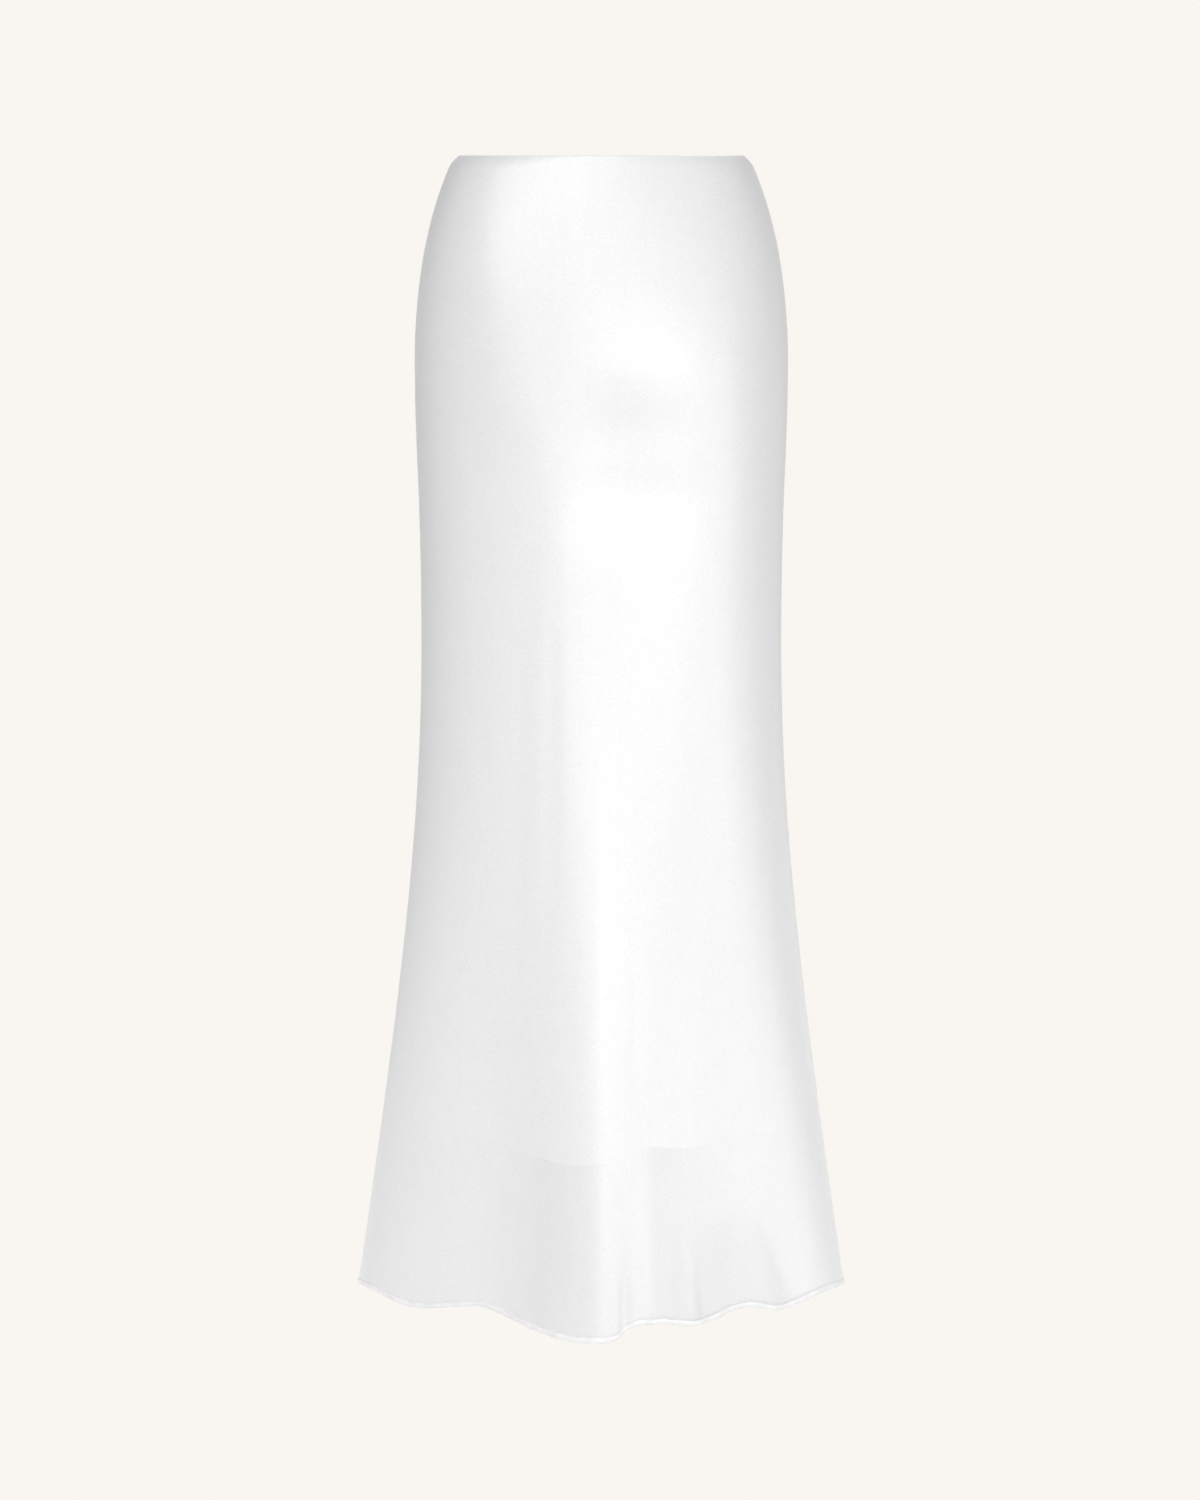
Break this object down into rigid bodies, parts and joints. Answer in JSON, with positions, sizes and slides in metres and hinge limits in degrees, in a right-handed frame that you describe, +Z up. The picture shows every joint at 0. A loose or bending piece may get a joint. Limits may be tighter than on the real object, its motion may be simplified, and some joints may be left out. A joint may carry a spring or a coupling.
{
  "type": "worn mermaid fishtail skirt",
  "caption": "Long bias-cut satin skirt, close at waist, hips and knees, flaring to a fluted narrow-hemmed fishtail; lined, with a concealed zip at the back.",
  "frame": {"origin": "middle of the waist opening, level with the waist edge, where the wearer's waist holds the skirt up", "axes": "+Z up out of the waist, -Y the front, +X the wearer's left"},
  "size_m": [0.4526, 0.2892, 1.05],
  "materials": {
    "satin": "white satin, soft sheen",
    "lining": "white plain-woven lining, matt",
    "zip_tape": "white woven tape, matt",
    "zip_metal": "white lacquered metal, satin"
  },
  "bodies": {
    "skirt": {"front_panel": "satin", "back_panel_left": "satin", "back_panel_right": "satin", "lining_front": "lining", "lining_back_left": "lining", "lining_back_right": "lining", "zip_tape_left": "zip_tape", "zip_tape_right": "zip_tape", "zip_slider": "zip_metal"},
    "pull": {"zip_pull": "zip_metal"}
  },
  "joints": [
    {"name": "pull_hinge", "type": "hinge", "parent": "skirt", "child": "pull", "pos_m": [0, 0.08997, -0.01243], "axis": [1, 0, 0], "range_deg": [0, 150]}
  ]
}
